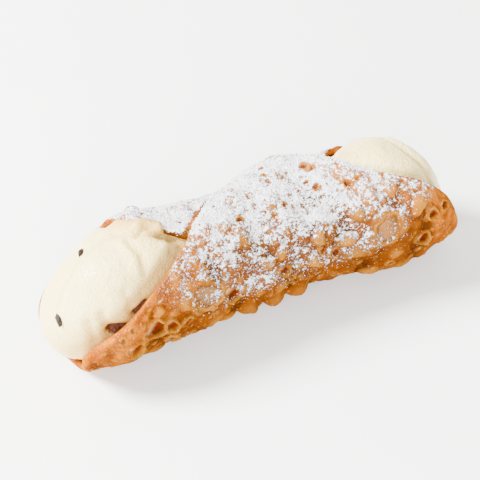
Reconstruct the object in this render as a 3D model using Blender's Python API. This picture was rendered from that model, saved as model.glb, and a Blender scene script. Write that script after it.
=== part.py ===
"""A filled cannolo: a round of fried dough rolled into a tube, and the ricotta cream piped through it.

Metres, +Z up. The tube lies along X on the floor, z = 0, with its near, wider mouth at -X.
The dough is modelled as it is made: a flat slab cut to its outline, which is then rolled round
a form, so that one flap laps over the other along the top and both mouths slant.
Angles round the tube are in degrees from the belly: 90 is the front (-Y), 180 the top, 270 the back.
"""

import math
import random

import bmesh
import bpy
import numpy as np
from mathutils import Matrix, Vector

MM = 0.001

# The flat dough: how far it reaches from its middle, in mm, by direction in degrees.
# 0 points at the far tip, 90 at the outer flap, 180 at the near tip and 270 at the inner flap.
DOUGH_REACH = (
    (0, 57), (15, 58.5), (30, 60.8), (40, 62.6), (50, 60.8), (58, 58.8), (66, 60), (71, 62), (75, 65.6),
    (80, 71), (85, 74), (91, 75), (96, 72.5), (100, 69.8), (105, 66.4), (112, 63.2), (118, 60.2), (127, 59),
    (134, 59.6), (141, 60.7), (147, 63.4), (153, 67.6), (157, 68.6), (163, 62.6), (170, 61), (180, 62.4),
    (188, 63.6), (194, 62.2), (200, 57.8), (206, 53.2), (215, 49.8), (224, 51.4), (232, 56.8), (237, 58.8),
    (243, 58.8), (251, 60.8), (257, 63.2), (262, 63.2), (275, 61), (290, 58), (299, 55), (309, 50.5),
    (325, 51), (342, 54),
)
REACH_BLUR = 5  # degrees either way that round off the outline's corners
DOUGH_MIDDLE_X = 3.0  # mm
DOUGH_MIDDLE_TURN = -9.0  # degrees
DOUGH_SKEW = 0.09  # the dough went on slightly askew
ROLL_RADIUS = 17.8  # mm; turns length across the dough into angle round the form
WALL = 1.9  # mm
RIM_ROUND = 1.0  # mm from the edge over which the rim rounds off
RIM_THICKNESS = 0.7  # mm left at the very edge

# By place along X, all in mm: the tube's outer radius under the blisters, the height of its axis,
# how far the upper back stands out, and how far the outer flap's free edge stands off.
TUBE_RADIUS = (
    (-66, 14.6), (-60, 16.4), (-55, 17.9), (-51, 18.8), (-46, 19.6), (-42, 19.5), (-37, 18.6), (-31, 18.1),
    (-24, 17.5), (-17, 16.8), (-9, 16.1), (3, 16.0), (14, 15.7), (20, 15.8), (25, 16.9), (30, 18.3),
    (36, 19.2), (41, 19.7), (46, 19.7), (51, 19.0), (57, 17.3), (64, 15.0),
)
AXIS_HEIGHT = (
    (-66, 19.2), (-44, 19.2), (-25, 18.6), (-8, 18.2), (14, 18.2), (28, 18.6), (41, 19.2), (64, 19.2),
)
BACK_RISE = (
    (-50, -0.6), (-43, -0.9), (-38, 0), (-35, 1.1), (-32, 1.9), (-28, 1.3), (-23, 0.7), (-14, 0.6),
    (-11, 1.5), (-8, 1.5), (-5, 0.9), (0, 0.4), (6, 0.6), (13, 0.5), (24, 0.2), (29, 0.6), (34, -0.2),
    (50, 0),
)
FREE_EDGE_LOFT = (
    (-20, 0.2), (-3, 0.3), (2, 0.9), (6, 2.0), (10, 2.8), (14, 3.1), (19, 2.6), (24, 1.0), (32, 0.3),
)
LOFT_FROM, LOFT_TO = 178, 228
LAP_FROM, LAP_TO = 104, 142  # where the outer flap climbs over the inner one
LAP_GAP = 0.5  # mm

# The belly is straight between the two shoulders, and pressed flat where it lies on the floor.
BELLY_WIDTH = 24.0  # degrees
BELLY_PRESS = 0.35  # mm
BELLY_ENDS = (-54, -44, 40, 50)  # mm; it fades in and out between these

# Named blisters: place along X in mm, turn in degrees, radius and height in mm, kind.
BLISTERS = (
    (-37, 93, 3.9, 1.7, "cup"), (-43, 82, 3.0, 1.5, "cup"), (-32, 91, 2.5, 1.5, "cup"),
    (-27.5, 88, 2.0, 1.1, "cup"), (-31.5, 70, 2.2, 1.3, "cup"), (-35, 109, 1.9, 1.2, "dome"),
    (-27.5, 109, 2.6, 1.2, "dome"), (-20.5, 119, 3.2, 1.3, "dome"), (-21.5, 106, 6.0, 1.5, "dome"),
    (-13.4, 98, 3.2, 1.7, "cup"), (26, 134, 2.3, 1.2, "dome"), (14, 124, 2.6, 1.7, "dome"),
    (22.3, 111, 2.8, 1.9, "dome"), (15, 112.5, 2.1, 1.3, "cup"), (18.8, 101.5, 2.2, 1.4, "cup"),
    (11.7, 102, 2.4, 1.6, "dome"), (2.8, 102, 2.4, 1.6, "cup"), (-1.7, 117, 2.6, 1.3, "dome"),
    (2.6, 122, 2.2, 1.2, "dome"), (33.7, 112, 6.2, 1.2, "dome"), (43.8, 124, 2.9, 1.8, "dome"),
    (48, 112, 2.2, 1.6, "cup"), (52, 116, 1.8, 1.3, "cup"), (45, 90, 2.8, 1.5, "cup"),
    (36, 169, 2.9, 1.0, "dome"), (-25.6, 55, 3.6, 0.6, "dome"), (-44, 52, 4.5, 0.2, "dome"),
    (-7.6, 62, 3.3, 2.3, "dome"), (-18, 66, 3.2, 0.7, "dome"), (0.6, 61, 3.0, 2.6, "dome"),
    (8.4, 60, 3.4, 2.3, "dome"), (30.5, 55, 3.4, 1.2, "dome"), (40, 55, 4.6, 0.9, "dome"),
    (-36.5, 52, 3.6, 0.6, "dome"), (-13.6, 53, 2.8, 1.4, "dome"),
)
BLISTERS_MORE = 150  # smaller ones strewn over the rest
FLATTER_FROM, FLATTER_TO = 30, 205  # degrees between which those lie flatter than the named ones
FLATTER_BY = 0.45
STREW_SEED = 11
SHELL_GRID = 190
SHELL_TRIANGLES = 11300

# The cream, in mm: its two dome tips, where the domes begin, and its clearance from the shell.
CREAM_NEAR_TIP, CREAM_NEAR_DOME = -62.4, -43.0
CREAM_FAR_TIP, CREAM_FAR_DOME = 60.4, 43.0
CREAM_CLEARANCE = 0.6
CREAM_OVERHANG = 2.9  # how far it swells past the shell's inner face once clear of the rim
CREAM_NOTCH_X = -25.5  # where the flaps meet over the near mouth, and the cream stays below them
CREAM_NOTCH_WIDTH = 6.0
CREAM_SLANTS = (17.0, 6.0)  # how much sooner each dome falls away at its upper back
CREAM_SAGS = (5.5, 2.5)  # how far each dome's tip hangs below the axis
CREAM_FULLNESS = 2.1  # how blunt the domes are, and how much more so at their undersides
CREAM_FULLER = (2.6, 0.8)
CREAM_DRAWN_IN = 5.0  # how far the near dome is drawn in behind, where the dough's lip stands free
CREAM_SIDES, CREAM_RINGS = 44, 27

# Shards of chocolate pressed into the near dome: place along X in mm, turn in degrees, the shard's size
# in mm, and in degrees its tilt about X and its heading about Z.
CHIPS = (
    (-48.0, 193, (2.5, 1.1, 1.6), 0, 51),
    (-59.0, 143, (1.4, 4.4, 1.6), 31, 0),
)


def along(table, x):
    """Read a table of (place, value) pairs smoothly at the places x."""
    places, values = zip(*table)
    steps = np.linspace(places[0], places[-1], 400)
    line = np.interp(steps, places, values)
    kernel = np.hanning(15)
    line = np.convolve(np.pad(line, 7, mode="edge"), kernel / kernel.sum(), mode="valid")
    return np.interp(x, steps, line)


def ease(low, high, value):
    """0 below low, 1 above high and a smooth climb between them."""
    share = np.clip((value - low) / (high - low), 0, 1)
    return share * share * (3 - 2 * share)


def dough_reach(direction):
    """How far the flat dough reaches in a direction given in radians."""
    places, values = zip(*DOUGH_REACH)
    degrees = np.arange(360)
    line = np.interp(degrees, places + (360,), values + (values[0],))
    kernel = np.hanning(2 * REACH_BLUR + 3)
    line = np.convolve(np.pad(line, REACH_BLUR + 1, mode="wrap"), kernel / kernel.sum(), mode="valid")
    return np.interp(np.degrees(direction) % 360, np.arange(361), np.append(line, line[0]))


def inside_dough(x, turn):
    """Distance in mm from the dough's edge, positive inside, for a place on the tube."""
    across = ROLL_RADIUS * np.radians(turn - DOUGH_MIDDLE_TURN)
    out = x - DOUGH_MIDDLE_X - DOUGH_SKEW * across
    return dough_reach(np.arctan2(across, out)) - np.hypot(across, out)


def back_rise(x, turn):
    """The upper back stands out or dips a little, over both flaps alike."""
    away = (turn - 215 + 180) % 360 - 180
    return along(BACK_RISE, x) * (1 - ease(15, 75, abs(away)))


def form_radius(x, turn):
    """Radius of the tube's outer face where there is only one layer, without blisters."""
    radius = along(TUBE_RADIUS, x)
    start, full_start, full_end, end = BELLY_ENDS
    straight = ease(start, full_start, x) * (1 - ease(full_end, end, x))
    away = (turn + 180) % 360 - 180
    belly = straight * np.exp(-((away / BELLY_WIDTH) ** 2))
    radius = radius + belly * (along(AXIS_HEIGHT, x) + BELLY_PRESS - radius)
    return radius + back_rise(x, turn)


def lay_blisters():
    """The named blisters and the strewn ones, as rows of x, turn, radius, height and kind."""
    chance = random.Random(STREW_SEED)
    rows = [tuple(row) for row in BLISTERS]
    tries = 0
    while len(rows) < len(BLISTERS) + BLISTERS_MORE and tries < 20000:
        tries += 1
        x = chance.uniform(-60, 62)
        turn = chance.uniform(-200, 230)
        radius = 1.4 + 2.2 * chance.random() ** 2
        if inside_dough(x, turn) < radius + 0.6:
            continue
        near = [row for row in rows if math.hypot(row[0] - x, math.radians(row[1] - turn) * 18)
                < 0.85 * (row[2] + radius)]
        if near:
            continue
        kind = "cup" if chance.random() < 0.33 else "dome"
        height = radius * chance.uniform(0.38, 0.62)
        if FLATTER_FROM < turn < FLATTER_TO:
            height *= FLATTER_BY
        rows.append((x, turn, radius, height, kind))
    return rows


def blister_relief(x, turn):
    """Height in mm of the blistered skin over the plain dough."""
    domes = np.zeros_like(x)
    cups = np.zeros_like(x)
    for place, angle, radius, height, kind in lay_blisters():
        gap = np.hypot(x - place, np.radians(turn - angle) * 18) / radius
        if kind == "dome":
            domes = np.maximum(domes, height * np.clip(1 - gap ** 2, 0, 1) ** 0.85)
        else:
            ring = height * np.exp(-(((gap - 0.72) / 0.24) ** 2))
            bowl = -min(0.75 * height, 0.9) * (1 - ease(0.2, 0.62, gap))
            domes = domes * ease(0.75, 1.1, gap)
            cups = cups + ring + bowl
    swell = 0.28 * np.sin(0.31 * x + np.radians(2.1 * turn))
    swell += 0.24 * np.sin(0.47 * x - np.radians(3.2 * turn) + 1.3)
    swell += 0.16 * np.sin(0.83 * x + np.radians(5.3 * turn) + 0.4)
    covered = ease(-3.0, -0.3, inside_dough(x, turn + 360))
    belly = 1 - ease(16, 30, abs(turn))
    return (domes + cups + swell) * (1 - covered) * (1 - belly)


def rolled_place(x, turn, radius, drop=0.0):
    """Points round the tube's axis, or round a line that lies lower by drop, in metres, as rows."""
    angle = np.radians(turn)
    height = np.maximum(along(AXIS_HEIGHT, x) - drop - radius * np.cos(angle), 0)
    return np.stack([x, -radius * np.sin(angle), height], axis=1) * MM


def material(name, colour, roughness):
    made = bpy.data.materials.new(name)
    made.use_nodes = True
    shader = made.node_tree.nodes["Principled BSDF"]
    shader.inputs["Base Color"].default_value = (*colour, 1)
    shader.inputs["Roughness"].default_value = roughness
    shader.inputs["Metallic"].default_value = 0.0
    made.diffuse_color = (*colour, 1)
    return made


def add_object(name, bm, made):
    bmesh.ops.recalc_face_normals(bm, faces=bm.faces)
    for face in bm.faces:
        face.smooth = True
    mesh = bpy.data.meshes.new(name)
    bm.to_mesh(mesh)
    bm.free()
    mesh.materials.append(made)
    thing = bpy.data.objects.new(name, mesh)
    bpy.context.scene.collection.objects.link(thing)
    return thing


def apply_modifiers(thing):
    """Replace an object's mesh by the one its modifiers make."""
    graph = bpy.context.evaluated_depsgraph_get()
    made = bpy.data.meshes.new_from_object(thing.evaluated_get(graph))
    thing.modifiers.clear()
    old = thing.data
    thing.data = made
    bpy.data.meshes.remove(old)
    thing.data.name = thing.name


def build_shell():
    """The dough slab, blistered on its outer face, rolled and thinned to its triangle budget."""
    bm = bmesh.new()
    bmesh.ops.create_grid(bm, x_segments=SHELL_GRID, y_segments=SHELL_GRID, size=1.0)
    bmesh.ops.solidify(bm, geom=bm.faces[:], thickness=0.1)
    flat = np.array([vert.co[:] for vert in bm.verts])
    outer = flat[:, 2] > np.mean(flat[:, 2])
    # The square grid is pressed into a disc, with its last rows drawn close to the rim.
    u = np.sin(flat[:, 0] * math.pi / 2) * 0.35 + flat[:, 0] * 0.65
    v = np.sin(flat[:, 1] * math.pi / 2) * 0.35 + flat[:, 1] * 0.65
    a = u * np.sqrt(1 - v * v / 2)
    b = v * np.sqrt(1 - u * u / 2)
    direction = np.arctan2(b, a)
    reach = dough_reach(direction)
    share = np.hypot(a, b)
    across = share * reach * np.sin(direction)
    x = DOUGH_MIDDLE_X + share * reach * np.cos(direction) + DOUGH_SKEW * across
    turn = DOUGH_MIDDLE_TURN + np.degrees(across / ROLL_RADIUS)
    middle = form_radius(x, turn) - WALL / 2
    middle += (WALL + LAP_GAP) * ease(LAP_FROM, LAP_TO, turn)
    middle += along(FREE_EDGE_LOFT, x) * ease(LOFT_FROM, LOFT_TO, turn)
    edge = np.clip((1 - share) * reach / RIM_ROUND, 0, 1)
    half = RIM_THICKNESS / 2 + (WALL - RIM_THICKNESS) / 2 * np.sqrt(1 - (1 - edge) ** 2)
    relief = blister_relief(x, turn) * ease(0, 1.6, (1 - share) * reach)
    radius = np.where(outer, middle + half + relief, middle - half)
    places = rolled_place(x, turn, radius)
    for vert, place in zip(bm.verts, places):
        vert.co = place
    shell = add_object("shell", bm, material("fried_dough", (0.55, 0.24, 0.07), 0.55))
    thin = shell.modifiers.new("thin", "DECIMATE")
    thin.ratio = SHELL_TRIANGLES / (2 * len(shell.data.polygons))
    thin.use_collapse_triangulate = True
    apply_modifiers(shell)
    for vert in shell.data.vertices:
        if vert.co.z < 0.00003:
            vert.co.z = 0
    return shell


def cream_radius(x, turn):
    """Radius of the cream's side: clear of the shell inside it, and swollen where it is bare."""
    inner = form_radius(x, turn) - WALL
    bare = -np.maximum(inside_dough(x, turn), inside_dough(x, turn - 360))
    swell = CREAM_OVERHANG * ease(1.3, 4.6, bare) * (1 - 0.45 * ease(0, 30, x))
    swell = swell * (1 - np.exp(-(((x - CREAM_NOTCH_X) / CREAM_NOTCH_WIDTH) ** 2)))
    # The cream has shrunk from the front lip of the near mouth, which leaves a dark gap there.
    front = np.exp(-(((turn - 100) / 42) ** 2)) * (1 - ease(-42, -18, x))
    behind = np.exp(-(((turn - 264) / 44) ** 2)) * (1 - ease(-50, -40, x))
    return inner - CREAM_CLEARANCE + swell * (1 - front) - 1.6 * front - CREAM_DRAWN_IN * behind


def cream_place(x, turn):
    """The cream's surface at x: its radius, and how far the middle it is measured from has sagged."""
    back = ease(-0.3, 1.0, np.cos(np.radians(turn - 213)))
    start = CREAM_NEAR_DOME + CREAM_SLANTS[0] * back
    near = np.clip((start - x) / (start - CREAM_NEAR_TIP), 0, 1)
    start = CREAM_FAR_DOME - CREAM_SLANTS[1] * back
    far = np.clip((x - start) / (CREAM_FAR_TIP - start), 0, 1)
    sag = CREAM_SAGS[0] * ease(-45, -62, x) + CREAM_SAGS[1] * ease(46, 60, x)
    angle = np.radians(turn)

    def measured_from_sag(side):
        return np.sqrt(side ** 2 - (sag * np.sin(angle)) ** 2) - sag * np.cos(angle)

    reach = measured_from_sag(cream_radius(np.clip(x, CREAM_NEAR_DOME - 6, CREAM_FAR_DOME + 4), turn))
    room = measured_from_sag(cream_radius(x, turn))
    full = CREAM_FULLNESS + ease(0, 1, np.cos(angle)) * np.where(x < 0, *CREAM_FULLER)
    return np.minimum(reach * np.sqrt(np.clip(1 - near ** full - far ** full, 0, 1)), room), sag


def add_chips():
    """Little chocolate shards, each half sunk in the near dome, in a collection of their own."""
    chips = bpy.data.collections.new("chips")
    bpy.context.scene.collection.children.link(chips)
    chance = random.Random(5)
    for count, (x, turn, size, tilt, heading) in enumerate(CHIPS):
        radius, sag = cream_place(np.array([x]), np.array([turn]))
        spot = rolled_place(np.array([x]), np.array([turn]), radius, sag)[0]
        bm = bmesh.new()
        bmesh.ops.create_icosphere(bm, subdivisions=1, radius=0.5 * MM)
        for vert in bm.verts:
            vert.co *= chance.uniform(0.9, 1.12)
        bmesh.ops.scale(bm, vec=size, verts=bm.verts)
        bmesh.ops.rotate(bm, matrix=Matrix.Rotation(math.radians(tilt), 3, "X"), verts=bm.verts)
        bmesh.ops.rotate(bm, matrix=Matrix.Rotation(math.radians(heading), 3, "Z"), verts=bm.verts)
        bmesh.ops.translate(bm, vec=Vector(spot), verts=bm.verts)
        chip = add_object(f"chip_{count}", bm, bpy.data.materials["ricotta_cream"])
        bpy.context.scene.collection.objects.unlink(chip)
        chips.objects.link(chip)
    return chips


def build_cream():
    """The ricotta cream, one body from mouth to mouth, with its chocolate chips fused to it."""
    bm = bmesh.new()
    bmesh.ops.create_uvsphere(bm, u_segments=CREAM_SIDES, v_segments=CREAM_RINGS, radius=1.0)
    ball = np.array([vert.co[:] for vert in bm.verts])
    turn = np.degrees(np.arctan2(ball[:, 1], ball[:, 0])) % 360
    lengthwise = np.arccos(np.clip(ball[:, 2], -1, 1)) / math.pi
    share = 0.5 - 0.5 * np.cos(lengthwise * math.pi)
    share = 0.75 * share + 0.25 * ease(0, 1, lengthwise)
    x = CREAM_NEAR_TIP + (CREAM_FAR_TIP - CREAM_NEAR_TIP) * share
    radius, sag = cream_place(x, turn)
    places = rolled_place(x, turn, radius, sag)
    for vert, place in zip(bm.verts, places):
        vert.co = place
    cream = add_object("cream", bm, material("ricotta_cream", (0.86, 0.79, 0.62), 0.5))
    chips = add_chips()
    join = cream.modifiers.new("chips", "BOOLEAN")
    join.operation = "UNION"
    join.operand_type = "COLLECTION"
    join.collection = chips
    join.solver = "EXACT"
    apply_modifiers(cream)
    for chip in list(chips.objects):
        bpy.data.objects.remove(chip, do_unlink=True)
    bpy.data.collections.remove(chips)
    return cream


def centre_on_origin():
    """Slide everything along the floor so that the middle of its box stands over the origin."""
    things = list(bpy.context.scene.collection.objects)
    places = np.array([vert.co[:] for thing in things for vert in thing.data.vertices])
    middle = (places.min(axis=0) + places.max(axis=0)) / 2
    for thing in things:
        thing.data.transform(Matrix.Translation((-middle[0], -middle[1], 0)))


for thing in list(bpy.data.objects):
    bpy.data.objects.remove(thing, do_unlink=True)
build_shell()
build_cream()
centre_on_origin()
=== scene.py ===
"""The cannolo: blistered dough, ricotta cream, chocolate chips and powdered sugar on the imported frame."""

import math
import random

import bmesh
import bpy
import numpy as np
from mathutils import Matrix, Vector, noise


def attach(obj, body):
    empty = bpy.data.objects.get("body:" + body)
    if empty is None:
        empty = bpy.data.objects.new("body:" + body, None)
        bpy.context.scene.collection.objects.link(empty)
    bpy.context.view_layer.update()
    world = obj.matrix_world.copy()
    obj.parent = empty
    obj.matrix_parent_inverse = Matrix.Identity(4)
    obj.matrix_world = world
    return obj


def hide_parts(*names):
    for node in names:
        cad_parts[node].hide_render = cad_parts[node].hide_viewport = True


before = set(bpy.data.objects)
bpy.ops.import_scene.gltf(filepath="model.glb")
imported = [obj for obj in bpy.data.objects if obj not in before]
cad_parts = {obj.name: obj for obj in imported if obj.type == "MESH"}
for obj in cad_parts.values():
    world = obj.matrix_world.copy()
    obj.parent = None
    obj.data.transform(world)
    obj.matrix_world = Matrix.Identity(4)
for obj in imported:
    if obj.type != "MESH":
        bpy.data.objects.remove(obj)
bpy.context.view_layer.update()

# The dough shell. A round of thin dough is rolled about a metal tube and deep-fried, so its outer
# face is full of bubbles: closed ones stand up as pale domes, and burst ones are rings round a pit.
# One flap laps over the other along the top, and both mouths slant down to a long lip.

# How far the flat round of dough reaches from its middle in mm, by direction in degrees: 0 is towards
# the far end, 90 the outer flap's edge, 180 the near end and 270 the inner flap's edge.
DOUGH_REACH = (
    (0, 57), (15, 58.5), (30, 60.8), (40, 62.6), (50, 60.8), (58, 58.8), (66, 60), (71, 62), (75, 65.6),
    (80, 71), (85, 74), (91, 75), (96, 72.5), (100, 69.8), (105, 66.4), (112, 63.2), (118, 60.2), (127, 59),
    (134, 59.6), (141, 60.7), (147, 63.4), (153, 67.6), (157, 68.6), (163, 62.6), (170, 61), (180, 62.4),
    (188, 63.6), (194, 62.2), (200, 57.8), (206, 53.2), (215, 49.8), (224, 51.4), (232, 56.8), (237, 58.8),
    (243, 58.8), (251, 60.8), (257, 63.2), (262, 63.2), (275, 61), (290, 58), (299, 55), (309, 50.5),
    (325, 51), (342, 54),
)
ROUND_X, ROUND_TURN = 3, -9  # where the round's middle lies: along X in mm, and its turn from the belly
ROUND_SLANT = 0.09  # how far the round is shifted along X for each mm across
DOUGH_WALL = 1.9
DOUGH_ROLL = 17.8  # radius in mm about which the flat round is rolled
SKIN_RADIUS = 18  # radius in mm that makes a turn between blisters a length
FLAP_GAP = 0.5
FLAP_CLIMB = (104, 142)  # turns between which the outer flap climbs onto the inner one
FREE_EDGE = (178, 228)  # turns between which the outer flap's free edge comes loose
BELLY_SPREAD = 24
BELLY_PRESS = 0.35
BACK_TURN = 215
FULL_TURN = 6.28

# Along X in mm: the tube's outer radius, its axis's height, how far its back stands out, and how far
# the outer flap's free edge stands off the flap beneath.
TUBE_RADIUS = (
    (-66, 14.6), (-60, 16.4), (-55, 17.9), (-51, 18.8), (-46, 19.6), (-42, 19.5), (-37, 18.6), (-31, 18.1),
    (-24, 17.5), (-17, 16.8), (-9, 16.1), (3, 16.0), (14, 15.7), (20, 15.8), (25, 16.9), (30, 18.3),
    (36, 19.2), (41, 19.7), (46, 19.7), (51, 19.0), (57, 17.3), (64, 15.0),
)
AXIS_HEIGHT = (
    (-66, 19.2), (-44, 19.2), (-25, 18.6), (-8, 18.2), (14, 18.2), (28, 18.6), (41, 19.2), (64, 19.2),
)
BACK_RISE = (
    (-50, -0.6), (-43, -0.9), (-38, 0), (-35, 1.1), (-32, 1.9), (-28, 1.3), (-23, 0.7), (-14, 0.6),
    (-11, 1.5), (-8, 1.5), (-5, 0.9), (0, 0.4), (6, 0.6), (13, 0.5), (24, 0.2), (29, 0.6), (34, -0.2),
    (50, 0),
)
FREE_EDGE_LOFT = (
    (-20, 0.2), (-3, 0.3), (2, 0.9), (6, 2.0), (10, 2.8), (14, 3.1), (19, 2.6), (24, 1.0), (32, 0.3),
)
LAID_AT = Vector((0.000677, 0.00047, 0.0))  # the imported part's box was centred over the origin

# Place along X in mm, turn in degrees from the belly towards the front, radius and height in mm, kind.
BLISTERS = (
    (-37, 93, 3.9, 1.7, "cup"), (-43, 82, 3.0, 1.5, "cup"), (-32, 91, 2.5, 1.5, "cup"),
    (-27.5, 88, 2.0, 1.1, "cup"), (-31.5, 70, 2.2, 1.3, "cup"), (-35, 109, 1.9, 1.2, "dome"),
    (-27.5, 109, 2.6, 1.2, "dome"), (-20.5, 119, 3.2, 1.3, "dome"), (-21.5, 106, 6.0, 1.5, "dome"),
    (-13.4, 98, 3.2, 1.7, "cup"), (26, 134, 2.3, 1.2, "dome"), (14, 124, 2.6, 1.7, "dome"),
    (22.3, 111, 2.8, 1.9, "dome"), (15, 112.5, 2.1, 1.3, "cup"), (18.8, 101.5, 2.2, 1.4, "cup"),
    (11.7, 102, 2.4, 1.6, "dome"), (2.8, 102, 2.4, 1.6, "cup"), (-1.7, 117, 2.6, 1.3, "dome"),
    (2.6, 122, 2.2, 1.2, "dome"), (33.7, 112, 6.2, 1.2, "dome"), (43.8, 124, 2.9, 1.8, "dome"),
    (48, 112, 2.2, 1.6, "cup"), (52, 116, 1.8, 1.3, "cup"), (45, 90, 2.8, 1.5, "cup"),
    (36, 169, 2.9, 1.0, "dome"), (-25.6, 55, 3.6, 0.6, "dome"), (-44, 52, 4.5, 0.2, "dome"),
    (-7.6, 62, 3.3, 2.3, "dome"), (-18, 66, 3.2, 0.7, "dome"), (0.6, 61, 3.0, 2.6, "dome"),
    (8.4, 60, 3.4, 2.3, "dome"), (30.5, 55, 3.4, 1.2, "dome"), (40, 55, 4.6, 0.9, "dome"),
    (-36.5, 52, 3.6, 0.6, "dome"), (-13.6, 53, 2.8, 1.4, "dome"),
)
# Smaller ones, and two wide ones whose tan middle has sunk in a little.
SMALL_BLISTERS = (
    (18.5, 169, 1.3, 0.7, "cup"), (26.5, 159, 1.5, 0.7, "cup"), (-5.9, 162, 1.2, 0.6, "cup"),
    (20, 189, 1.7, 0.8, "cup"), (19, 194, 1.5, 0.7, "cup"), (3.6, 169, 2.0, 0.5, "dome"),
    (7.6, 101, 1.6, 0.9, "dome"), (36.4, 143.5, 2.4, 0.8, "dome"), (-40, 66, 1.6, 0.5, "dome"),
    (33.7, 112, 4.9, 0.5, "disc"), (-20.5, 106, 5.6, 0.35, "disc"),
)
STREWN_X, STREWN_TURN = (-60, 62), (-200, 230)
STREWN_COUNT = 150
COUNT_WITH_RASH = 900

# Where the sugar ends on the sides: place along X in mm, and the turn from the belly.
SUGAR_EDGE = (
    (-62, 150), (-50, 138), (-44, 126), (-36.5, 113), (-32.6, 106), (-28, 100), (-21, 82), (-13, 77),
    (-6, 79), (2, 75), (8.5, 80), (18, 78), (27, 79), (34, 92), (38, 96), (45, 108), (51, 124), (58, 140),
)


def ease(low, high, value):
    """A smooth step from 0 at low to 1 at high."""
    share = np.clip((value - low) / (high - low), 0, 1)
    return share * share * (3 - 2 * share)


def along(table, x):
    """A table's value at x, with its corners rounded off."""
    places, values = zip(*table)
    steps = np.linspace(places[0], places[-1], 400)
    line = np.interp(steps, places, values)
    kernel = np.hanning(15)
    line = np.convolve(np.pad(line, 7, mode="edge"), kernel / kernel.sum(), mode="valid")
    return np.interp(x, steps, line)


def dough_reach(direction):
    """The flat round's reach in mm at a direction in radians, with its corners rounded off."""
    places, values = zip(*DOUGH_REACH)
    line = np.interp(np.arange(360), places + (360,), values + (values[0],))
    kernel = np.hanning(13)
    line = np.convolve(np.pad(line, 6, mode="wrap"), kernel / kernel.sum(), mode="valid")
    return np.interp(np.degrees(direction) % 360, np.arange(361), np.append(line, line[0]))


def inside_dough(x, turn):
    """How far in mm a place lies inside the dough's rim, and less than nothing outside it."""
    across = DOUGH_ROLL * np.radians(turn - ROUND_TURN)
    out = x - ROUND_X - ROUND_SLANT * across
    return dough_reach(np.arctan2(across, out)) - np.hypot(across, out)


def form_radius(x, turn):
    """The tube's outer radius in mm, pressed flat along the belly."""
    radius = along(TUBE_RADIUS, x)
    straight = ease(-54, -44, x) * (1 - ease(40, 50, x))
    belly = straight * np.exp(-((((turn + 180) % 360 - 180) / BELLY_SPREAD) ** 2))
    radius = radius + belly * (along(AXIS_HEIGHT, x) + BELLY_PRESS - radius)
    from_back = abs((turn - BACK_TURN + 180) % 360 - 180)
    return radius + along(BACK_RISE, x) * (1 - ease(15, 75, from_back))


def rolled_place(x, turn, radius, drop=0.0):
    """Places in metres at a turn and radius about the tube's axis, none below the floor."""
    angle = np.radians(turn)
    height = np.maximum(along(AXIS_HEIGHT, x) - drop - radius * np.cos(angle), 0)
    return np.stack([x, -radius * np.sin(angle), height], axis=1) * 0.001 + np.array(LAID_AT)


def crowded(x, turn, radius, others, share):
    """Whether a blister would lie too near one of the others."""
    return any(
        math.hypot(row[0] - x, math.radians(row[1] - turn) * SKIN_RADIUS) < share * (row[2] + radius)
        for row in others
    )


def lay_blisters():
    """The named blisters, then strewn ones that keep clear of them, then a rash of tiny ones."""
    chance = random.Random(11)
    rows = [tuple(row) for row in BLISTERS]
    while len(rows) < len(BLISTERS) + STREWN_COUNT:
        x = chance.uniform(*STREWN_X)
        turn = chance.uniform(*STREWN_TURN)
        radius = 1.4 + 2.2 * chance.random() ** 2
        if inside_dough(x, turn) < radius + 0.6 or crowded(x, turn, radius, rows, 0.85):
            continue
        kind = "cup" if chance.random() < 0.33 else "dome"
        height = radius * chance.uniform(0.38, 0.62)
        if 30 < turn < 205:  # they lie flatter at the front, so that the named ones stand out
            height *= 0.45
        if 80 < turn < 205:  # what the camera sees holds only the named cups
            kind = "dome"
        rows.append((x, turn, radius, height, kind))
    rows += SMALL_BLISTERS
    large = list(rows)
    while len(rows) < COUNT_WITH_RASH:
        x = chance.uniform(*STREWN_X)
        turn = chance.uniform(*STREWN_TURN)
        radius = 0.5 + 0.8 * chance.random() ** 2
        if inside_dough(x, turn) < radius + 0.3 or crowded(x, turn, radius, large, 0.8):
            continue
        kind = "cup" if chance.random() < 0.2 else "dome"
        rows.append((x, turn, radius, radius * chance.uniform(0.25, 0.5), kind))
    return rows


def open_skin(x, turn):
    """1 where the dough's outer face is bare, and 0 on the belly and under the outer flap."""
    return (1 - ease(-3.0, -0.3, inside_dough(x, turn + 360))) * ease(16, 30, abs(turn))


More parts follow.
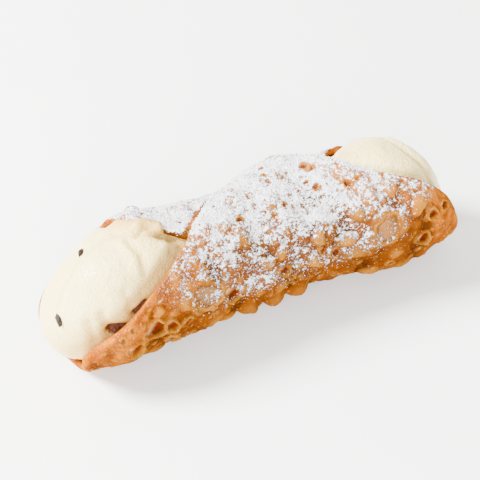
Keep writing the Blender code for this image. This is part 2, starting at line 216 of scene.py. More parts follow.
def blister_skin(x, turn):
    """Relief in mm, how pale the skin is, painted shade and tan in the bottoms of burst blisters, and torn
    rings.
    """
    relief = np.zeros_like(x)
    pale = np.zeros_like(x)
    pit_shade = np.zeros_like(x)
    hollow = np.zeros_like(x)
    ring = np.zeros_like(x)
    chance = random.Random(3)
    for place, angle, radius, height, kind in lay_blisters():
        spin = chance.uniform(0, FULL_TURN)
        torn = chance.uniform(0.1, 0.4)
        near = np.nonzero((abs(x - place) < 1.6 * radius) & (abs(turn - angle) < 5.1 * radius))[0]
        if len(near) == 0:
            continue
        aside = x[near] - place
        up = np.radians(turn[near] - angle) * SKIN_RADIUS
        bearing = np.arctan2(up, aside)
        outline = 1 + 0.13 * np.sin(2 * bearing + spin) + 0.10 * np.sin(3 * bearing + 2.3 * spin)
        outline += 0.05 * np.sin(7 * bearing + 4.1 * spin)
        gap = np.hypot(aside, up) / (radius * outline)
        if kind == "dome":
            # The tallest are wide and pointed, and as brown as the dough round them.
            if height > 2:
                width, power, paleness = 1.35, 1.2, 0.2
            else:
                width, power, paleness = 1.0, 0.7, min(1.0, 0.35 + 0.3 * height)
            dome = np.clip(1 - (gap / width) ** 2, 0, 1) ** power
            crease = 0.16 * height * np.exp(-(((gap - 1.10) / 0.15) ** 2))
            relief[near] = np.maximum(relief[near], height * dome) - crease
            pale[near] = np.maximum(pale[near], dome ** 1.5 * paleness)
        else:
            width = max(0.10, min(0.15, 0.33 / radius))
            wall = np.exp(-(((gap - 0.80) / width) ** 2)) * (1 - torn + torn * np.sin(bearing + spin))
            bowl = min(0.55, 0.5 * height) * (1 - ease(0.45, 0.72, gap))
            relief[near] = relief[near] * ease(0.75, 1.1, gap) + height * wall - bowl
            pale[near] = np.maximum(pale[near] * ease(0.8, 1.1, gap), np.clip(wall, 0, 1))
            bottom = 1 - ease(0.42, 0.68, gap)
            # A larger pit's bottom gets painted shade on one side and tan on the other; a small one's is
            # all painted shade.
            shade_share = ease(-0.45, 0.35, 0.7 * (aside - up) / radius) if radius > 1.6 else 0.8
            if kind == "disc":
                shade_share, bottom, wall = 0, 0.35 * bottom, 0.6 * wall
            pit_shade[near] = np.maximum(pit_shade[near], bottom * shade_share)
            hollow[near] = np.maximum(hollow[near], bottom * (1 - shade_share))
            ring[near] = np.maximum(ring[near], np.clip(wall, 0, 1))
    waves = 0.28 * np.sin(0.31 * x + np.radians(2.1 * turn))
    waves += 0.16 * np.sin(0.83 * x + np.radians(5.3 * turn) + 0.4)
    relief += waves
    relief += 0.24 * np.sin(0.47 * x - np.radians(3.2 * turn) + 1.3)
    shown = open_skin(x, turn)
    return relief * shown, pale * shown, pit_shade * shown, hollow * shown, ring * shown


def grain_at(places, scale, seed=0.0):
    """Smooth noise from -1 to 1 at places in metres, with features about scale mm across."""
    shift = Vector((seed, seed, seed))
    return np.array([noise.noise(Vector(place) * (1000 / scale) + shift) for place in places])


def move_to(bm, places):
    for vert, place in zip(bm.verts, places):
        vert.co = place


def add_piece(bm, name, smooth=False):
    """A new object of the shape built so far, in place in the scene."""
    for face in bm.faces:
        face.smooth = smooth
    mesh = bpy.data.meshes.new(name)
    bm.to_mesh(mesh)
    bm.free()
    piece = bpy.data.objects.new(name, mesh)
    bpy.context.scene.collection.objects.link(piece)
    return piece


def roll_dough():
    """A flat slab cut round, blistered on one face, and rolled, with its skin attributes."""
    bm = bmesh.new()
    rows = 284
    bmesh.ops.create_grid(bm, x_segments=rows, y_segments=rows, size=1.0)
    bmesh.ops.solidify(bm, geom=bm.faces[:], thickness=0.1)
    flat = np.array([vert.co[:] for vert in bm.verts])
    outer = flat[:, 2] > np.mean(flat[:, 2])
    u = np.sin(flat[:, 0] * math.pi / 2) * 0.35 + flat[:, 0] * 0.65
    v = np.sin(flat[:, 1] * math.pi / 2) * 0.35 + flat[:, 1] * 0.65
    a = u * np.sqrt(1 - v * v / 2)
    b = v * np.sqrt(1 - u * u / 2)
    reach = dough_reach(np.arctan2(b, a))
    share = np.hypot(a, b)
    across = reach * b
    x = ROUND_X + reach * a + ROUND_SLANT * across
    turn = ROUND_TURN + np.degrees(across / DOUGH_ROLL)
    lapped = turn + 360  # the inner flap's turn, counted as the outer flap's is
    middle = form_radius(x, turn) - DOUGH_WALL / 2
    middle += (DOUGH_WALL + FLAP_GAP) * ease(*FLAP_CLIMB, turn)
    middle += along(FREE_EDGE_LOFT, x) * ease(*FREE_EDGE, turn)
    rim = (1 - share) * reach
    on_rim = share > 0.999
    half = 0.35 + (DOUGH_WALL / 2 - 0.35) * np.sqrt(1 - (1 - np.clip(rim, 0, 1)) ** 2)
    # The front of the near lip is puffed up into a thick roll that curls outwards.
    roll = ease(-36, -46, x) * ease(10, 28, turn) * (1 - ease(98, 118, turn))
    middle += 0.4 * roll * (1 - ease(0, 4.5, rim))
    half += 0.5 * roll * np.sqrt(1 - (1 - np.clip(rim / 2.4, 0, 1)) ** 2) * (1 - ease(3.0, 6.5, rim))
    # The outer flap's free edge has sunk onto the flap beneath, except where it stands off.
    lofted = ease(-2, 8, x) * (1 - ease(26, 34, x))
    middle -= 0.8 * (1 - ease(0, 5, rim)) * ease(150, 170, turn) * (1 - lofted)
    relief, pale, pit_shade, hollow, ring = blister_skin(x, turn)
    fade = ease(0, 1.6, rim)
    spread = np.stack([x, turn * 0.3, 0 * x], axis=1) * 0.001
    crumple = grain_at(spread, 3.0) * 0.26
    crumple += grain_at(spread, 1.4, 7.0) * 0.12
    crumple *= open_skin(x, turn)
    radius = np.where(outer, middle + half + relief * fade + crumple, middle - half)
    places = rolled_place(x, turn, radius)
    move_to(bm, places)
    bmesh.ops.recalc_face_normals(bm, faces=bm.faces)
    bm.normal_update()
    normals = np.array([vert.normal[:] for vert in bm.verts])

    # Sugar settles on what faces up, and thins out below an edge that wanders along the side.
    side = 180 - abs((turn % 360) - 180)
    edge = along(SUGAR_EDGE, x)
    sugar = 0.12 * ease(-14, 0, side - edge) + 0.38 * ease(-6, 26, side - edge)
    sugar += 0.17 * ease(26, 71, side - edge) + 0.16 * ease(71, 106, side - edge)
    sugar += 0.16 * ease(186, 204, turn)
    sugar += 0.22 * (turn < 0) * ease(-10, -28, x) * ease(125, 155, side)
    drift = grain_at(places, 8.0, 3.0) * 0.30 + grain_at(places, 3.4, 5.0) * 0.26
    over_rim = ease(150, 165, turn)
    tilt = normals[:, 2] + np.cos(np.radians(turn))
    tilt *= np.maximum(ease(0.3, 2.5, rim), 1 - over_rim)
    sugar *= np.clip(1 + 0.9 * drift + 0.8 * tilt, 0.1, 1.5)
    unbroken = (1 - 0.9 * pit_shade) * (1 - 0.7 * hollow) * (1 - 0.5 * ring)
    sugar *= unbroken * np.maximum(ease(-0.3, 0.6, rim), over_rim)
    sugar *= 1 - 0.5 * pale
    sugar *= np.maximum(outer, over_rim * on_rim)
    sugar *= 1 - ease(-3.0, -0.5, inside_dough(x, lapped))
    sugar = np.clip(0.88 * sugar, 0, 0.76)
    over_edge = (rim < 1.8) & (turn > 162) & (outer | on_rim)
    sugar = np.where(over_edge, np.maximum(sugar, 0.64), sugar)
    lumps = 0.16 + 0.16 * grain_at(places, 1.3, 9.0) + 0.08 * grain_at(places, 0.7, 2.0)
    heap = ease(0.3, 0.8, sugar) * lumps
    places = places + normals * np.maximum(heap, 0)[:, None] * 0.001
    move_to(bm, places)
    piece = add_piece(bm, "rolled_dough", smooth=True)
    skin = piece.data.attributes.new("skin", "FLOAT_COLOR", "POINT")
    packed = np.stack([pale * outer, pit_shade * outer, sugar, hollow * outer], axis=1).astype(np.float32)
    skin.data.foreach_set("color", packed.ravel())
    # Painted shade darkens the inner flap's rim in the crease where the other flap meets it over the near
    # mouth.
    shaded = (1 - ease(1.5, 3.5, rim)) * ease(160, 166, lapped) * (1 - ease(188, 196, lapped)) * (x < 0)
    relief_and_shade = piece.data.attributes.new("relief_and_shade", "FLOAT", "POINT")
    relief_and_shade.data.foreach_set("value", (relief * fade * outer * (1 - shaded) - shaded).astype(np.float32))
    lip = piece.data.attributes.new("lip", "FLOAT", "POINT")
    lip.data.foreach_set("value", (1 - ease(3, 15, rim)).astype(np.float32))
    inner = piece.vertex_groups.new(name="inner_face")
    inner.add([int(i) for i in np.nonzero(~outer)[0]], 1.0, "REPLACE")
    return piece


dough = roll_dough()

# The smooth inner face needs fewer triangles than the blistered one.
thin = dough.modifiers.new("thin_inner_face", "DECIMATE")
thin.vertex_group = "inner_face"
thin.ratio = 0.60
graph = bpy.context.evaluated_depsgraph_get()
thinned = bpy.data.meshes.new_from_object(dough.evaluated_get(graph))
dough.modifiers.clear()
dough.data = thinned


def make_speckle():
    """A mask of soft or sharp specks, by their size in mm, for every material here."""
    group = bpy.data.node_groups.new("speckle", "ShaderNodeTree")
    group.interface.new_socket("Size", in_out="INPUT", socket_type="NodeSocketFloat")
    group.interface.new_socket("Detail", in_out="INPUT", socket_type="NodeSocketFloat")
    group.interface.new_socket("Low", in_out="INPUT", socket_type="NodeSocketFloat")
    group.interface.new_socket("High", in_out="INPUT", socket_type="NodeSocketFloat")
    group.interface.new_socket("Mask", in_out="OUTPUT", socket_type="NodeSocketFloat")
    given = group.nodes.new("NodeGroupInput")
    place = group.nodes.new("ShaderNodeTexCoord")
    cells = group.nodes.new("ShaderNodeMath")
    cells.operation = "DIVIDE"
    cells.inputs[0].default_value = 1000.0
    grain = group.nodes.new("ShaderNodeTexNoise")
    grain.inputs["Roughness"].default_value = 0.6
    cut = group.nodes.new("ShaderNodeMapRange")
    out = group.nodes.new("NodeGroupOutput")
    group.links.new(given.outputs["Size"], cells.inputs[1])
    group.links.new(place.outputs["Object"], grain.inputs["Vector"])
    group.links.new(cells.outputs["Value"], grain.inputs["Scale"])
    group.links.new(given.outputs["Detail"], grain.inputs["Detail"])
    group.links.new(grain.outputs["Fac"], cut.inputs["Value"])
    group.links.new(given.outputs["Low"], cut.inputs["From Min"])
    group.links.new(given.outputs["High"], cut.inputs["From Max"])
    group.links.new(cut.outputs["Result"], out.inputs["Mask"])
    return group


speckle = make_speckle()


class Finish:
    """A new material, with short ways to lay specks, masks and colours over each other."""

    def __init__(self, name):
        self.material = bpy.data.materials.new(name)
        self.material.use_nodes = True
        self.nodes = self.material.node_tree.nodes
        self.links = self.material.node_tree.links
        self.shader = self.nodes["Principled BSDF"]

    def feed(self, socket, value):
        if isinstance(value, tuple):
            socket.default_value = (*value, 1.0)
        elif isinstance(value, (int, float)):
            socket.default_value = value
        else:
            self.links.new(value, socket)

    def specks(self, size, detail=3.0, low=0.35, high=0.65):
        node = self.nodes.new("ShaderNodeGroup")
        node.node_tree = speckle
        for name, value in (("Size", size), ("Detail", detail), ("Low", low), ("High", high)):
            node.inputs[name].default_value = value
        return node.outputs["Mask"]

    def attribute(self, name):
        node = self.nodes.new("ShaderNodeAttribute")
        node.attribute_name = name
        return node

    def step(self, value, low, high, to_low=0.0, to_high=1.0):
        node = self.nodes.new("ShaderNodeMapRange")
        node.interpolation_type = "SMOOTHSTEP"
        for name, bound in (("From Min", low), ("From Max", high), ("To Min", to_low), ("To Max", to_high)):
            node.inputs[name].default_value = bound
        self.links.new(value, node.inputs["Value"])
        return node.outputs["Result"]

    def math(self, operation, first, second):
        node = self.nodes.new("ShaderNodeMath")
        node.operation = operation
        self.feed(node.inputs[0], first)
        self.feed(node.inputs[1], second)
        return node.outputs["Value"]

    def blend(self, share, first, second):
        node = self.nodes.new("ShaderNodeMix")
        node.data_type = "RGBA"
        sockets = {(socket.name, socket.type): socket for socket in node.inputs}
        self.feed(sockets["Factor", "VALUE"], share)
        self.feed(sockets["A", "RGBA"], first)
        self.feed(sockets["B", "RGBA"], second)
        return next(socket for socket in node.outputs if socket.type == "RGBA")

    def tint(self, mask, strength, under, over):
        return self.blend(self.math("MULTIPLY", mask, strength), under, over)

    def relief(self, height, strength, depth):
        """Bump from a height from 0 to 1, depth in mm."""
        node = self.nodes.new("ShaderNodeBump")
        node.inputs["Strength"].default_value = strength
        node.inputs["Distance"].default_value = depth * 0.001
        self.links.new(height, node.inputs["Height"])
        self.links.new(node.outputs["Normal"], self.shader.inputs["Normal"])

    def soften(self, weight, *radii):
        self.shader.inputs["Subsurface Weight"].default_value = weight
        self.shader.inputs["Subsurface Radius"].default_value = [radius * 0.001 for radius in radii]
        self.shader.inputs["Subsurface Scale"].default_value = 1.0


# Linear colours: the crust, with its painted shade and glints, from creases to torn rims, and the sugar.
DOUGH_DARK = (0.048, 0.0080, 0.0002)
DOUGH_BROWN = (0.092, 0.0190, 0.0003)
DOUGH_GOLD = (0.160, 0.0380, 0.0005)
DOUGH_AMBER = (0.290, 0.0600, 0.0001)
DOUGH_LIP = (0.500, 0.1420, 0.0003)
DOUGH_CREASE_SHADE = (0.020, 0.0028, 0.0002)
DOUGH_RAISED = (0.205, 0.0580, 0.0012)
DOUGH_BUBBLE = (0.290, 0.1050, 0.0040)
DOUGH_PALE = (0.420, 0.1850, 0.0160)
DOUGH_PIT_SHADE = (0.090, 0.0080, 0.0003)
DOUGH_HOLLOW = (0.560, 0.2900, 0.1000)
DOUGH_PAINTED_GLINT = (0.800, 0.4400, 0.1500)
SUGAR_HAZE = (0.40, 0.25, 0.14)
SUGAR_SHADE = (0.60, 0.60, 0.62)
SUGAR_WHITE = (0.90, 0.90, 0.91)


def fry_dough():
    """Crust from brown to gold, with pale blisters, torn rings, painted shade and glints, and the sugar
    over it.
    """
    finish = Finish("fried_dough_sugared")
    shader = finish.shader
    skin = finish.nodes.new("ShaderNodeSeparateColor")
    painted = finish.attribute("skin")
    finish.links.new(painted.outputs["Color"], skin.inputs["Color"])
    pale, pit_shade, sugar = skin.outputs["Red"], skin.outputs["Green"], skin.outputs["Blue"]
    hollow = painted.outputs["Alpha"]
    relief_and_shade = finish.attribute("relief_and_shade").outputs["Fac"]
    lip = finish.attribute("lip").outputs["Fac"]

    mottle = finish.specks(2.4, 5.0, 0.34, 0.66)
    bubbles = finish.specks(0.7, 3.0, 0.52, 0.70)
    colour = finish.blend(finish.specks(10.0, 4.0, 0.38, 0.62), DOUGH_BROWN, DOUGH_GOLD)
    bare_lip = finish.blend(finish.specks(5.0, 4.0, 0.40, 0.60), DOUGH_AMBER, DOUGH_LIP)
    colour = finish.tint(lip, 0.90, colour, bare_lip)
    colour = finish.tint(mottle, 0.45, colour, DOUGH_DARK)
    # Painted shade in the creases and low places of the relief, and along the inner flap's rim.
    colour = finish.tint(finish.step(relief_and_shade, 0.05, -0.55), 0.75, colour, DOUGH_CREASE_SHADE)
    colour = finish.tint(finish.step(relief_and_shade, 0.2, 1.5), 0.45, colour, DOUGH_RAISED)
    colour = finish.tint(bubbles, 0.24, colour, DOUGH_BUBBLE)
    colour = finish.tint(pale, 0.68, colour, DOUGH_PALE)
    # Small pale specks on the bare crust are painted glints.
    colour = finish.tint(finish.specks(0.8, 3.0, 0.63, 0.72), 0.5, colour, DOUGH_PAINTED_GLINT)
    colour = finish.tint(hollow, 0.80, colour, DOUGH_HOLLOW)
    # Painted shade in the bottoms of burst blisters.
    colour = finish.tint(pit_shade, 0.85, colour, DOUGH_PIT_SHADE)

    fine = finish.specks(0.42, 2.0, 0.30, 0.70)
    clumps = finish.math("MULTIPLY", finish.specks(2.3, 2.0, 0.35, 0.65), 0.22)
    clots = finish.math("MULTIPLY", finish.specks(0.95, 4.0, 0.33, 0.67), 0.43)
    grains = finish.math("ADD", clumps, clots)
    grains = finish.math("ADD", grains, finish.math("MULTIPLY", fine, 0.35))
    surplus = finish.math("SUBTRACT", finish.math("ADD", grains, sugar), 1.0)
    cover = finish.step(surplus, -0.07, 0.05)
    colour = finish.tint(finish.step(sugar, 0.1, 0.7), 0.12, colour, SUGAR_HAZE)
    colour = finish.blend(cover, colour, finish.blend(fine, SUGAR_SHADE, SUGAR_WHITE))
    finish.links.new(colour, shader.inputs["Base Color"])
    crust_rough = finish.step(mottle, 0.0, 1.0, 0.30, 0.46)
    rough = finish.math("MAXIMUM", crust_rough, finish.math("MULTIPLY", cover, 0.95))
    finish.links.new(rough, shader.inputs["Roughness"])
    shader.inputs["Specular IOR Level"].default_value = 0.0
    oily = finish.math("MULTIPLY", finish.specks(0.6, 3.0, 0.55, 0.66), 0.30)
    finish.links.new(oily, shader.inputs["Coat Weight"])
    shader.inputs["Coat Roughness"].default_value = 0.18

    cells = finish.nodes.new("ShaderNodeTexVoronoi")
    cells.feature = "SMOOTH_F1"
    cells.inputs["Scale"].default_value = 1000 / 1.3  # dents 1.3 mm across
    place = finish.nodes.new("ShaderNodeTexCoord")
    finish.links.new(place.outputs["Object"], cells.inputs["Vector"])
    dents = finish.math("MULTIPLY", cells.outputs["Distance"], 0.6)
    bare = finish.math("SUBTRACT", finish.math("MULTIPLY", bubbles, 0.5), dents)
    heaped = finish.math("MULTIPLY", cover, finish.math("ADD", 0.7, grains))
    finish.relief(finish.math("ADD", bare, heaped), 0.9, 0.45)
    return finish.material


dough.data.materials.clear()
dough.data.materials.append(fry_dough())
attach(dough, "root")
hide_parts("shell")

# The ricotta cream. It is piped in from both ends until it domes out of the mouths, and is smooth and
# moist, with soft folds from the nozzle. It clears the dough by CREAM_GAP, swells out past the rims,
# and each dome sags.

CREAM_GAP = 0.5
CREAM_SWELL = 2.9
CREAM_SAG_NEAR, CREAM_SAG_FAR = 5.5, 2.5
CREAM_SET_BACK_NEAR, CREAM_SET_BACK_FAR = 17.0, 6.0  # how much further in the domes begin at the back
FOLD_STRENGTH = 1.4
CREAM_NEAR_TIP, CREAM_NEAR_DOME = -62.4, -43.0
CREAM_FAR_TIP, CREAM_FAR_DOME = 60.4, 43.0

# Folds: places along X in mm with their turns, then half the fold's width in mm and its height in mm.
CREAM_FOLDS = (
    (((-45.8, 186), (-48.4, 184), (-50.1, 182), (-52.8, 176), (-55.0, 170), (-57.3, 163), (-58.4, 157)),
     0.9, -0.28),
    (((-45.0, 182), (-48.0, 179), (-50.8, 175), (-53.4, 169), (-56.0, 161)), 2.0, 0.22),
    (((-45.8, 186), (-41.9, 189), (-38.4, 188), (-35.8, 181), (-33.6, 178)), 1.1, -0.30),
    (((-36.8, 176), (-36.0, 167), (-35.2, 160), (-35.5, 154), (-35.8, 149), (-36.0, 143)), 0.7, -0.50),
    (((-38.2, 175), (-37.6, 166), (-37.0, 158), (-37.4, 149)), 1.4, 0.40),
    (((-33.9, 176), (-31.3, 180), (-29.4, 179), (-27.6, 172)), 0.7, -0.60),
    (((-32.5, 186), (-30.3, 187), (-28.4, 185), (-27.2, 181), (-27.4, 177)), 1.3, 0.75),
    (((-25.2, 187), (-25.9, 180), (-26.9, 174)), 0.7, -0.95),
    (((-26.4, 176), (-26.0, 170), (-26.2, 161), (-26.8, 155)), 0.55, -0.50),
    (((-25.4, 176), (-24.5, 168), (-24.2, 160)), 0.5, -0.45),
    (((-23.6, 172), (-23.4, 161)), 0.5, -0.40),
    (((-42.4, 134), (-41.6, 122), (-41.8, 110)), 1.0, -0.35),
    (((-49.4, 122), (-49.1, 108)), 1.2, -0.45),
    (((-53.0, 120), (-52.4, 94)), 1.3, -0.45),
    (((-47.4, 96), (-45.6, 94), (-43.9, 92)), 2.0, -2.4),
    (((-40.0, 108), (-38.4, 111), (-36.8, 115)), 1.3, -1.6),
    (((46.0, 203), (49.3, 173), (51.7, 156), (52.6, 139)), 0.9, -0.50),
    (((48.0, 204), (51.7, 175), (54.0, 157)), 1.2, 0.45),
)


def beyond_dough(x, turn):
    """How far in mm a place lies outside both flaps of the dough."""
    return -np.maximum(inside_dough(x, turn), inside_dough(x, turn - 360))


def cream_radius(x, turn):
    """The cream's radius in mm in the tube and in the mouths, before its domes close."""
    inner = form_radius(x, turn) - DOUGH_WALL
    bare = beyond_dough(x, turn)
    swell = CREAM_SWELL * ease(0.9, 4.4, bare) * (1 - 0.45 * ease(0, 30, x))
    # On the back of the near mouth it lies over the rim of the inner flap.
    behind = ease(168, 180, turn) * (1 - ease(206, 222, turn)) * (1 - ease(-26.5, -25, x))
    swell = np.maximum(swell, CREAM_SWELL * ease(-1.6, -0.6, bare) * behind)
    # The near dome stays behind the front lip, and slopes away towards the back.
    front = np.exp(-(((turn - 100) / 42) ** 2)) * (1 - ease(-42, -18, x))
    slope = np.exp(-(((turn - 264) / 44) ** 2)) * (1 - ease(-50, -40, x))
    return inner - CREAM_GAP + swell * (1 - front) - 1.6 * front - 5.0 * slope


def cream_place(x, turn):
    """The cream's radius in mm about the tube's axis lowered by the sag, and the sag."""
    back = ease(-0.3, 1.0, np.cos(np.radians(turn - 213)))
    start = CREAM_NEAR_DOME + CREAM_SET_BACK_NEAR * back
    near = np.clip((start - x) / (start - CREAM_NEAR_TIP), 0, 1)
    start = CREAM_FAR_DOME - CREAM_SET_BACK_FAR * back
    far = np.clip((x - start) / (CREAM_FAR_TIP - start), 0, 1)
    sag = CREAM_SAG_NEAR * ease(-45, -62, x) + CREAM_SAG_FAR * ease(46, 60, x)
    angle = np.radians(turn)

    def measured_from_sag(side):
        return np.sqrt(side ** 2 - (sag * np.sin(angle)) ** 2) - sag * np.cos(angle)

    reach = measured_from_sag(cream_radius(np.clip(x, CREAM_NEAR_DOME - 6, CREAM_FAR_DOME + 4), turn))
    room = measured_from_sag(cream_radius(x, turn))
    # The domes are round above, and fuller and blunter below.
    full = 2.1 + ease(0, 1, np.cos(angle)) * np.where(x < 0, 2.6, 0.8)
    dome = reach * np.sqrt(np.clip(1 - near ** full - far ** full, 0, 1))
    return np.minimum(dome, room), sag


def distance_to_line(places, line):
    """Distance in mm from places to a line of points, both in metres."""
    least = np.full(len(places), 1e9)
    for start, end in zip(line[:-1], line[1:]):
        run = end - start
        share = np.clip((places - start) @ run / (run @ run), 0, 1)
        away = places - start - share[:, None] * run
        least = np.minimum(least, np.linalg.norm(away, axis=1) * 1000)
    return least


def pipe_cream():
    """A ball drawn out along the tube, closed at both tips, with its folds and shade attribute."""
    bm = bmesh.new()
    coarse = 1
    bmesh.ops.create_uvsphere(bm, u_segments=240 // coarse, v_segments=180 // coarse, radius=1.0)
    ball = np.array([vert.co[:] for vert in bm.verts])
    turn = np.degrees(np.arctan2(ball[:, 1], ball[:, 0])) % 360
    lengthwise = np.arccos(np.clip(ball[:, 2], -1, 1)) / math.pi
    share = 0.75 * (0.5 - 0.5 * np.cos(lengthwise * math.pi)) + 0.25 * ease(0, 1, lengthwise)
    x = CREAM_NEAR_TIP + (CREAM_FAR_TIP - CREAM_NEAR_TIP) * share
    radius, sag = cream_place(x, turn)
    places = rolled_place(x, turn, radius, sag)
    move_to(bm, places)
    bmesh.ops.recalc_face_normals(bm, faces=bm.faces)
    if bm.calc_volume(signed=True) < 0:
        bmesh.ops.reverse_faces(bm, faces=bm.faces)
    bm.normal_update()
    normals = np.array([vert.normal[:] for vert in bm.verts])
    shift = 0.28 * grain_at(places, 9.0, 1.0) + 0.13 * grain_at(places, 3.5, 4.0)
    shift += 0.05 * grain_at(places, 1.6, 6.0)
    crease = np.zeros(len(places))
    for line, width, height in CREAM_FOLDS:
        along_x, turns = np.array(line, dtype=float).T
        points = rolled_place(along_x, turns, *cream_place(along_x, turns))
        fold = FOLD_STRENGTH * height * np.exp(-((distance_to_line(places, points) / width) ** 2))
        shift += fold
        crease = np.maximum(crease, -0.7 * fold)
    move_to(bm, places + normals * shift[:, None] * 0.001)
    piece = add_piece(bm, "piped_cream", smooth=True)
    # Red is how deep a fold is, and green how close the dough's rim is; both place painted warm shade.
    shade = piece.data.attributes.new("shade", "FLOAT_COLOR", "POINT")
    close = (1 - ease(0, 6.5, beyond_dough(x, turn))) * (1 - ease(-6, 6, x))
    rows = np.stack([np.clip(crease, 0, 1), close, 0 * x, 0 * x], axis=1)
    shade.data.foreach_set("color", rows.astype(np.float32).ravel())
    return piece


cream = pipe_cream()

CREAM_SHADE = (0.93, 0.69, 0.22)
CREAM_LIGHT = (0.97, 0.80, 0.33)
CREAM_CURD = (0.98, 0.88, 0.47)
CREAM_WARM_SHADE = (0.62, 0.35, 0.06)
CREAM_SHADOW = (0.090, 0.0110, 0.0003)


def whip_ricotta():
    """Ivory cream with a fine curd, a moist gloss in patches, and painted shade in its folds and by the
    dough.
    """
    finish = Finish("ricotta_cream_moist")
    shader = finish.shader
    shade = finish.nodes.new("ShaderNodeSeparateColor")
    finish.links.new(finish.attribute("shade").outputs["Color"], shade.inputs["Color"])
    curd = finish.specks(0.55, 4.0, 0.35, 0.68)
    colour = finish.blend(finish.specks(13.0, 3.0), CREAM_SHADE, CREAM_LIGHT)
    colour = finish.tint(curd, 0.35, colour, CREAM_CURD)
    # Painted warm shade in the folds and near the dough's rim, and painted shadow in the deepest folds.
    colour = finish.tint(shade.outputs["Red"], 0.9, colour, CREAM_WARM_SHADE)
    colour = finish.tint(shade.outputs["Green"], 0.80, colour, CREAM_WARM_SHADE)
    colour = finish.tint(finish.step(shade.outputs["Red"], 0.75, 1.0), 0.95, colour, CREAM_SHADOW)
    finish.links.new(colour, shader.inputs["Base Color"])
    finish.links.new(finish.step(curd, 0.0, 1.0, 0.50, 0.30), shader.inputs["Roughness"])
    moist = finish.math("MULTIPLY", finish.specks(0.7, 2.0, 0.55, 0.65), 0.6)
    finish.links.new(moist, shader.inputs["Coat Weight"])
    shader.inputs["Coat Roughness"].default_value = 0.15
    shader.inputs["Specular IOR Level"].default_value = 0.5
    finish.soften(0.15, 2.2, 1.4, 0.7)
    lumps = finish.math("ADD", finish.math("MULTIPLY", curd, 0.8), finish.specks(1.8, 3.0))
    finish.relief(lumps, 0.8, 0.26)
    return finish.material


cream.data.materials.append(whip_ricotta())
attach(cream, "root")
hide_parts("cream")

# The chocolate chips: small broken shards of dark chocolate, stirred into the cream, two of which
# show half sunk in the near dome.

# Each shard's middle and half its size in mm, its tilt about X and heading about Z in degrees, and how
# much one end narrows.
CHIPS = (
    ((-47.4, 3.9, 33.9), (1.5, 0.75, 0.95), 0, 51, 0.3),
    ((-58.5, -5.9, 22.8), (0.95, 2.5, 0.95), 31, 0, 0.65),
)


def set_chips():
    bm = bmesh.new()
    chance = random.Random(5)
    for spot, size, tilt, heading, narrowing in CHIPS:
        made = bmesh.ops.create_icosphere(bm, subdivisions=2, radius=1.0)["verts"]
        longest = size.index(max(size))
        for vert in made:
            vert.co *= chance.uniform(0.82, 1.12) * (1 - narrowing * max(vert.co[longest], 0) * 0.6)
        bmesh.ops.scale(bm, vec=[0.001 * edge for edge in size], verts=made)
        bmesh.ops.rotate(bm, matrix=Matrix.Rotation(math.radians(tilt), 3, "X"), verts=made)
        bmesh.ops.rotate(bm, matrix=Matrix.Rotation(math.radians(heading), 3, "Z"), verts=made)
        bmesh.ops.translate(bm, vec=Vector(spot) * 0.001, verts=made)
    return add_piece(bm, "chocolate_chips")


chips = set_chips()

CHOCOLATE_DARK = (0.010, 0.006, 0.005)
CHOCOLATE_WORN = (0.034, 0.022, 0.020)


def temper_chocolate():
    finish = Finish("dark_chocolate")
    colour = finish.blend(finish.specks(0.5, 3.0, 0.35, 0.7), CHOCOLATE_DARK, CHOCOLATE_WORN)
    finish.links.new(colour, finish.shader.inputs["Base Color"])
    finish.shader.inputs["Roughness"].default_value = 0.6
    finish.shader.inputs["Specular IOR Level"].default_value = 0.15
    return finish.material


chips.data.materials.append(temper_chocolate())
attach(chips, "root")

# The powdered sugar, sieved over the finished pastry. It clings in soft clumps of fine grains on
# what faces up, and thins out to loose specks down the sides.

SUGAR_BATCH = 250  # lumps made at a time, which keeps the making quick
SUGAR_JITTER = 0.00012


def strew_sugar(name, count, sizes, least, seed):
    """Small lumps of sizes in mm set on the dough, more of them where its sugar mask is higher."""
    mesh = dough.data
    total = len(mesh.polygons)
    centres = np.empty(total * 3)
    mesh.polygons.foreach_get("center", centres)
    normals = np.empty(total * 3)
    mesh.polygons.foreach_get("normal", normals)
    areas = np.empty(total)
    mesh.polygons.foreach_get("area", areas)
    colours = np.empty(len(mesh.vertices) * 4)
    mesh.attributes["skin"].data.foreach_get("color", colours)
    sugar = colours.reshape(-1, 4)[:, 2]
    first = np.array([face.vertices[0] for face in mesh.polygons])
    mask = sugar[first]
    weight = areas * np.clip(mask - least, 0, 1) ** 1.5
    centres, normals = centres.reshape(-1, 3), normals.reshape(-1, 3)
    chance = np.random.default_rng(seed)
    picked = chance.choice(total, size=count, p=weight / weight.sum())
    pull = random.Random(seed)
    whole = bmesh.new()
    for start in range(0, count, SUGAR_BATCH):
        batch = bmesh.new()
        for face in picked[start:start + SUGAR_BATCH]:
            radius = pull.uniform(*sizes) * 0.0005 * (0.65 + 0.35 * mask[face])
            spot = Vector(centres[face]) + Vector(normals[face]) * radius * 0.35
            spot += Vector((pull.gauss(0, 1), pull.gauss(0, 1), pull.gauss(0, 1))) * SUGAR_JITTER
            stretch = (pull.uniform(0.8, 1.25), pull.uniform(0.8, 1.25), pull.uniform(0.7, 1.0), 1)
            spin = pull.uniform(0, FULL_TURN)
            axis = Vector((pull.gauss(0, 1), pull.gauss(0, 1), 1))
            laid = Matrix.Translation(spot) @ Matrix.Rotation(spin, 4, axis) @ Matrix.Diagonal(stretch)
            bmesh.ops.create_icosphere(batch, subdivisions=1, radius=radius, matrix=laid)
        lumps = bpy.data.meshes.new("batch")
        batch.to_mesh(lumps)
        batch.free()
        whole.from_mesh(lumps)
        bpy.data.meshes.remove(lumps)
    return add_piece(whole, name, smooth=True)


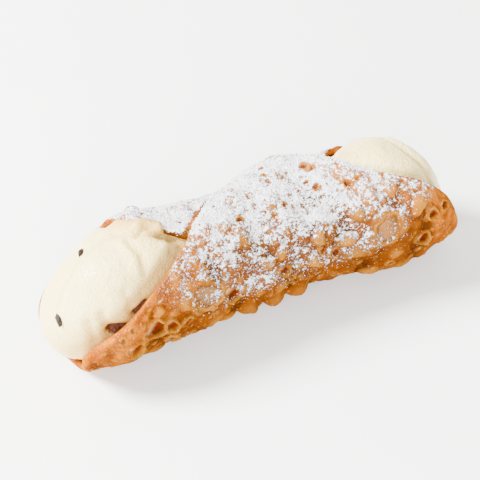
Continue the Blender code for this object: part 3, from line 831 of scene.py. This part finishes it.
def powder_sugar():
    finish = Finish("powdered_sugar")
    shader = finish.shader
    colour = finish.blend(finish.specks(0.5, 3.0, 0.3, 0.7), SUGAR_SHADE, SUGAR_WHITE)
    finish.links.new(colour, shader.inputs["Base Color"])
    shader.inputs["Roughness"].default_value = 0.95
    shader.inputs["Specular IOR Level"].default_value = 0.2
    finish.soften(0.15, 0.6, 0.6, 0.6)
    finish.relief(finish.specks(0.16, 2.0), 0.6, 0.08)
    return finish.material


sugar = powder_sugar()
few = 1
clumps = strew_sugar("sugar_clumps", 2800 // few, (0.26, 0.62), 0.42, 21)
specks = strew_sugar("sugar_specks", 8000 // few, (0.13, 0.32), 0.04, 22)
for piece in (clumps, specks):
    piece.data.materials.append(sugar)
    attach(piece, "root")

# The stage: a plain white floor all round, a bright white sky, and two soft lights, the stronger one
# high up behind on the left. The camera looks down on it at 45 degrees.

FLOOR_GREY = (0.93, 0.93, 0.93)
FLOOR_WHITE = (0.95, 0.95, 0.95)


def build_stage():
    bm = bmesh.new()
    bmesh.ops.create_grid(bm, x_segments=1, y_segments=1, size=1.6)
    floor = add_piece(bm, "floor")
    finish = Finish("white_floor")
    colour = finish.blend(finish.specks(40.0), FLOOR_GREY, FLOOR_WHITE)
    finish.links.new(colour, finish.shader.inputs["Base Color"])
    finish.shader.inputs["Roughness"].default_value = 0.9
    floor.data.materials.append(finish.material)


build_stage()

world = bpy.data.worlds.new("studio")
world.use_nodes = True
world.node_tree.nodes["Background"].inputs["Color"].default_value = (1.0, 1.0, 1.0, 1)
world.node_tree.nodes["Background"].inputs["Strength"].default_value = 1.5
bpy.context.scene.world = world


def add_light(name, place, size, power, colour):
    """A round soft light in metres and watts, turned towards the cannolo."""
    lamp = bpy.data.lights.new(name, "AREA")
    lamp.shape = "DISK"
    lamp.size = size
    lamp.energy = power
    lamp.color = colour
    held = bpy.data.objects.new(name, lamp)
    held.location = place
    held.rotation_euler = (Vector((0, 0, 0.02)) - Vector(place)).to_track_quat("-Z", "Y").to_euler()
    bpy.context.scene.collection.objects.link(held)


add_light("key", (-0.60, 0.30, 0.62), 0.35, 58.0, (1.0, 0.985, 0.96))
add_light("fill", (-0.45, -0.65, 0.40), 0.6, 20.0, (1.0, 0.99, 0.98))

eye = bpy.data.cameras.new("camera")
eye.angle = math.radians(20)
eye.clip_start = 0.01
eye.clip_end = 20
camera = bpy.data.objects.new("camera", eye)
round_angle = math.radians(-26)
back = Vector((math.sin(round_angle), -math.cos(round_angle), 1.0)).normalized()
looked_at = Vector((-0.00107, 0.00302, 0.019))
camera.location = looked_at + back * 0.384
camera.rotation_euler = back.to_track_quat("Z", "Y").to_euler()
bpy.context.scene.collection.objects.link(camera)
bpy.context.scene.camera = camera
